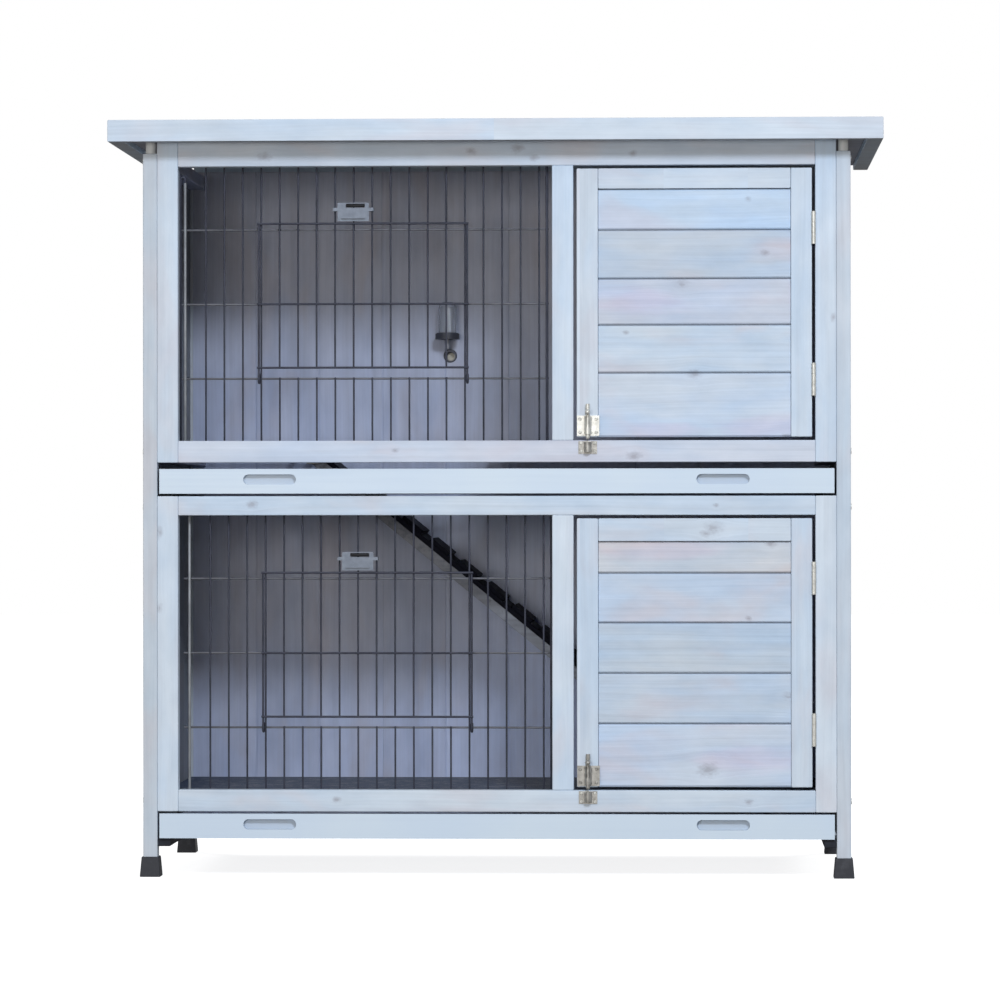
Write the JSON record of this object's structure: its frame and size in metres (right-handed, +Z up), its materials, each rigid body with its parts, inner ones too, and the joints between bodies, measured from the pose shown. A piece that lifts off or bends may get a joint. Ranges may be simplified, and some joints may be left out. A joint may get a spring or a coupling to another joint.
{
  "type": "rabbit hutch",
  "caption": "Two-storey wooden rabbit hutch with plank doors, barred wire fronts, slide-out trays, an inside ramp and a flat overhanging roof.",
  "frame": {"origin": "on the floor, under the middle of the hutch", "axes": "+Z up, -Y out of the front with the doors, +X to the right as seen from the front"},
  "size_m": [0.918, 0.49, 0.9],
  "materials": {
    "whitewashed_wood": "thin blue-grey whitewash over fir, matt",
    "plank_wood": "thin blue-grey whitewash over fir planks, matt",
    "wall_wood": "whitewashed fir boards, matt",
    "painted_board": "smooth pale blue paint, satin",
    "pan_wood": "sealed board, matt",
    "dark_wood": "dark stain, matt",
    "felt": "dark bitumen felt",
    "foot_plastic": "dark moulded caps",
    "pad_plastic": "pale moulded pads",
    "coated_grid": "dark coated steel",
    "zinc_wire": "zinc plated wire",
    "zinc_hardware": "bright zinc plate, lightly aged",
    "clear_plastic": "clear bottle",
    "black_plastic": "black cap and holder",
    "rubber": "dark grey plug"
  },
  "bodies": {
    "hutch": {"front_posts": "whitewashed_wood", "rear_posts": "whitewashed_wood", "feet": "foot_plastic", "roof_pads": "pad_plastic", "upper_left_stile": "whitewashed_wood", "upper_middle_stile": "whitewashed_wood", "upper_right_stile": "whitewashed_wood", "upper_top_rail": "whitewashed_wood", "upper_bottom_rail": "whitewashed_wood", "lower_left_stile": "whitewashed_wood", "lower_middle_stile": "whitewashed_wood", "lower_right_stile": "whitewashed_wood", "lower_top_rail": "whitewashed_wood", "lower_bottom_rail": "whitewashed_wood", "upper_left_wall": "wall_wood", "upper_right_wall": "wall_wood", "lower_left_wall": "wall_wood", "lower_right_wall": "wall_wood", "side_rails": "whitewashed_wood", "upper_back_wall": "wall_wood", "lower_back_wall": "wall_wood", "rear_rails": "whitewashed_wood", "upper_floor_grid": "coated_grid", "lower_floor_grid": "coated_grid", "tray_runners": "dark_wood", "upper_wire_panel": "zinc_wire", "lower_wire_panel": "zinc_wire", "frame_screws": "zinc_hardware", "bolt_keepers": "zinc_hardware", "frame_hinge_leaves": "zinc_hardware", "hinge_pins": "zinc_hardware", "ramp_pivot": "zinc_hardware", "bottle_holder": "black_plastic", "spout_hole_plug": "rubber"},
    "roof": {"roof_deck": "whitewashed_wood", "roof_boards": "whitewashed_wood", "roof_felt": "felt", "roof_hinge_leaves": "zinc_hardware"},
    "upper_door": {"upper_door_frame": "whitewashed_wood", "upper_door_planks": "plank_wood", "upper_door_hinge_leaves": "zinc_hardware", "upper_bolt_plate": "zinc_hardware"},
    "lower_door": {"lower_door_frame": "whitewashed_wood", "lower_door_planks": "plank_wood", "lower_door_hinge_leaves": "zinc_hardware", "lower_bolt_plate": "zinc_hardware"},
    "upper_bolt": {"upper_bolt": "zinc_hardware"},
    "lower_bolt": {"lower_bolt": "zinc_hardware"},
    "upper_wire_door": {"upper_wire_door": "zinc_wire"},
    "lower_wire_door": {"lower_wire_door": "zinc_wire"},
    "upper_latch": {"upper_latch": "zinc_hardware"},
    "lower_latch": {"lower_latch": "zinc_hardware"},
    "upper_tray": {"upper_tray_front": "painted_board", "upper_tray_pan": "pan_wood"},
    "lower_tray": {"lower_tray_front": "painted_board", "lower_tray_pan": "pan_wood"},
    "ramp": {"ramp": "plank_wood", "ramp_cleats": "dark_wood"},
    "bottle": {"bottle": "clear_plastic", "bottle_cap": "black_plastic"}
  },
  "joints": [
    {"name": "roof_hinge", "type": "hinge", "parent": "hutch", "child": "roof", "pos_m": [0, 0.208, 0.877], "axis": [-1, 0, 0], "range_deg": [0, 95]},
    {"name": "upper_door_hinge", "type": "hinge", "parent": "hutch", "child": "upper_door", "pos_m": [0.3776, -0.207, 0.68], "axis": [0, 0, 1], "range_deg": [0, 165]},
    {"name": "upper_bolt_slide", "type": "slide", "parent": "upper_door", "child": "upper_bolt", "axis": [0, 0, 1], "range_m": [-0.0155, 0]},
    {"name": "lower_door_hinge", "type": "hinge", "parent": "hutch", "child": "lower_door", "pos_m": [0.3776, -0.207, 0.27], "axis": [0, 0, 1], "range_deg": [0, 165]},
    {"name": "lower_bolt_slide", "type": "slide", "parent": "lower_door", "child": "lower_bolt", "axis": [0, 0, 1], "range_m": [-0.0155, 0]},
    {"name": "upper_wire_door_hinge", "type": "hinge", "parent": "hutch", "child": "upper_wire_door", "pos_m": [-0.16, -0.1834, 0.5945], "axis": [1, 0, 0], "range_deg": [0, 115]},
    {"name": "upper_latch_slide", "type": "slide", "parent": "hutch", "child": "upper_latch", "axis": [0, 0, 1], "range_m": [-0.01, 0]},
    {"name": "lower_wire_door_hinge", "type": "hinge", "parent": "hutch", "child": "lower_wire_door", "pos_m": [-0.16, -0.1834, 0.1775], "axis": [1, 0, 0], "range_deg": [0, 115]},
    {"name": "lower_latch_slide", "type": "slide", "parent": "hutch", "child": "lower_latch", "axis": [0, 0, 1], "range_m": [-0.01, 0]},
    {"name": "upper_tray_slide", "type": "slide", "parent": "hutch", "child": "upper_tray", "axis": [0, -1, 0], "range_m": [0, 0.36]},
    {"name": "lower_tray_slide", "type": "slide", "parent": "hutch", "child": "lower_tray", "axis": [0, -1, 0], "range_m": [0, 0.36]},
    {"name": "ramp_hinge", "type": "hinge", "parent": "hutch", "child": "ramp", "pos_m": [-0.237, 0.105, 0.50119], "axis": [0, -1, 0], "range_deg": [0, 22]},
    {"name": "bottle_lift", "type": "slide", "parent": "hutch", "child": "bottle", "axis": [0, 0, 1], "range_m": [0, 0.05]}
  ]
}
